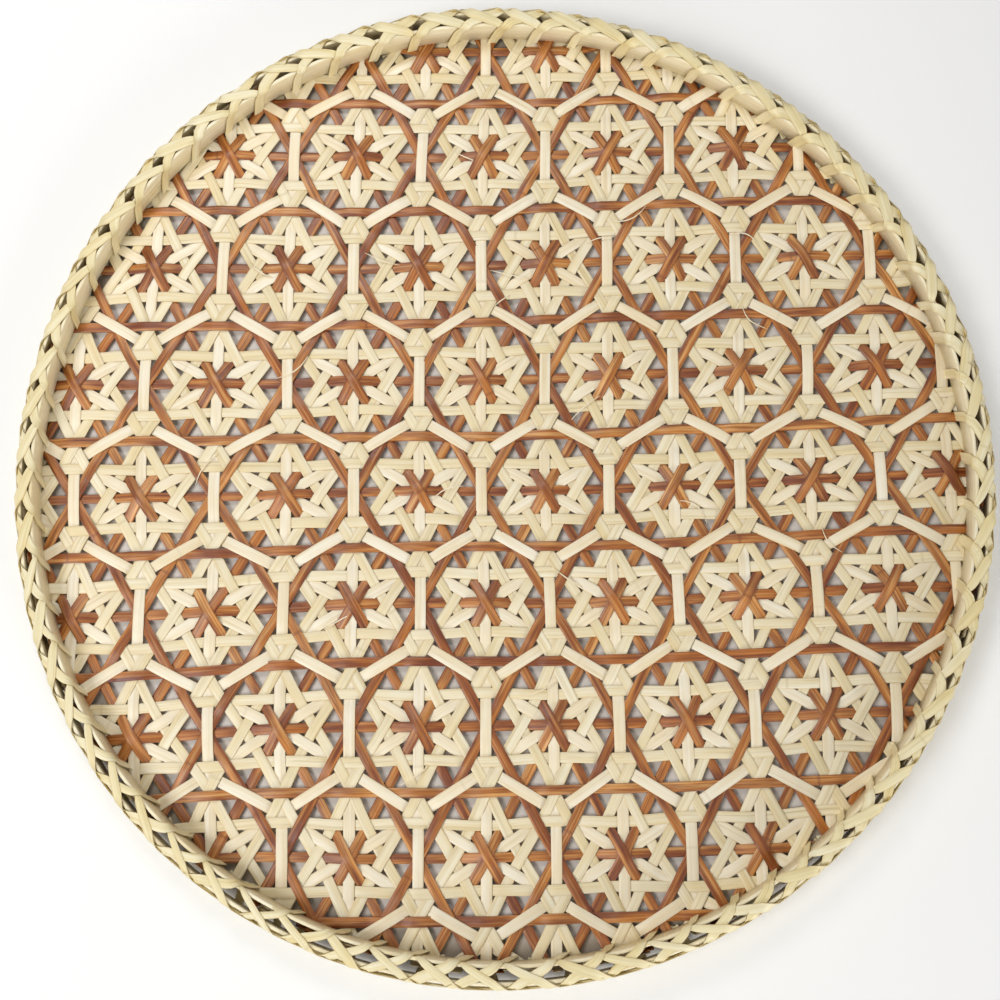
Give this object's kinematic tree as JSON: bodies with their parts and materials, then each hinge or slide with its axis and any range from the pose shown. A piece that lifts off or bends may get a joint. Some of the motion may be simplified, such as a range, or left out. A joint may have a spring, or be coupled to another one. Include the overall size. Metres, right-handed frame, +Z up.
{
  "type": "woven tray",
  "caption": "Round shallow bamboo tray with an open star-pattern weave, a low hoop wall and a laced rim, for holding fruit or serving.",
  "frame": {"origin": "middle of the underside, on the surface that the tray stands on", "axes": "+Z up out of the tray, +Y away from the viewer in the picture, +X to the right; one direction of the weave runs about along X"},
  "size_m": [0.4, 0.399, 0.0164],
  "materials": {
    "cream_bamboo": "split bamboo, matt to satin",
    "white_bamboo": "scraped bamboo, smooth satin",
    "brown_bamboo": "dyed split bamboo, satin",
    "hoop_bamboo": "bent bamboo band, smooth",
    "lacing_bamboo": "pale split bamboo, matt to satin"
  },
  "bodies": {
    "root": {"brown_ring_strips": "brown_bamboo", "brown_star_strips": "brown_bamboo", "cream_strip_a01": "cream_bamboo", "cream_strip_a02": "cream_bamboo", "cream_strip_a03": "cream_bamboo", "cream_strip_a04": "cream_bamboo", "cream_strip_a05": "cream_bamboo", "cream_strip_a06": "cream_bamboo", "cream_strip_a07": "cream_bamboo", "cream_strip_a08": "cream_bamboo", "cream_strip_a09": "cream_bamboo", "cream_strip_a10": "cream_bamboo", "cream_strip_a11": "cream_bamboo", "cream_strip_a12": "cream_bamboo", "cream_strip_a13": "cream_bamboo", "cream_strip_a14": "cream_bamboo", "cream_strip_a15": "cream_bamboo", "cream_strip_b01": "cream_bamboo", "cream_strip_b02": "cream_bamboo", "cream_strip_b03": "cream_bamboo", "cream_strip_b04": "cream_bamboo", "cream_strip_b05": "cream_bamboo", "cream_strip_b06": "cream_bamboo", "cream_strip_b07": "cream_bamboo", "cream_strip_b08": "cream_bamboo", "cream_strip_b09": "cream_bamboo", "cream_strip_b10": "cream_bamboo", "cream_strip_b11": "cream_bamboo", "cream_strip_b12": "cream_bamboo", "cream_strip_b13": "cream_bamboo", "cream_strip_b14": "cream_bamboo", "cream_strip_b15": "cream_bamboo", "cream_strip_b16": "cream_bamboo", "cream_strip_c01": "cream_bamboo", "cream_strip_c02": "cream_bamboo", "cream_strip_c03": "cream_bamboo", "cream_strip_c04": "cream_bamboo", "cream_strip_c05": "cream_bamboo", "cream_strip_c06": "cream_bamboo", "cream_strip_c07": "cream_bamboo", "cream_strip_c08": "cream_bamboo", "cream_strip_c09": "cream_bamboo", "cream_strip_c10": "cream_bamboo", "cream_strip_c11": "cream_bamboo", "cream_strip_c12": "cream_bamboo", "cream_strip_c13": "cream_bamboo", "cream_strip_c14": "cream_bamboo", "cream_strip_c15": "cream_bamboo", "inner_hoop": "hoop_bamboo", "outer_hoop": "hoop_bamboo", "rim_lacing_over": "lacing_bamboo", "rim_lacing_under": "lacing_bamboo", "white_strips": "white_bamboo"}
  },
  "joints": []
}
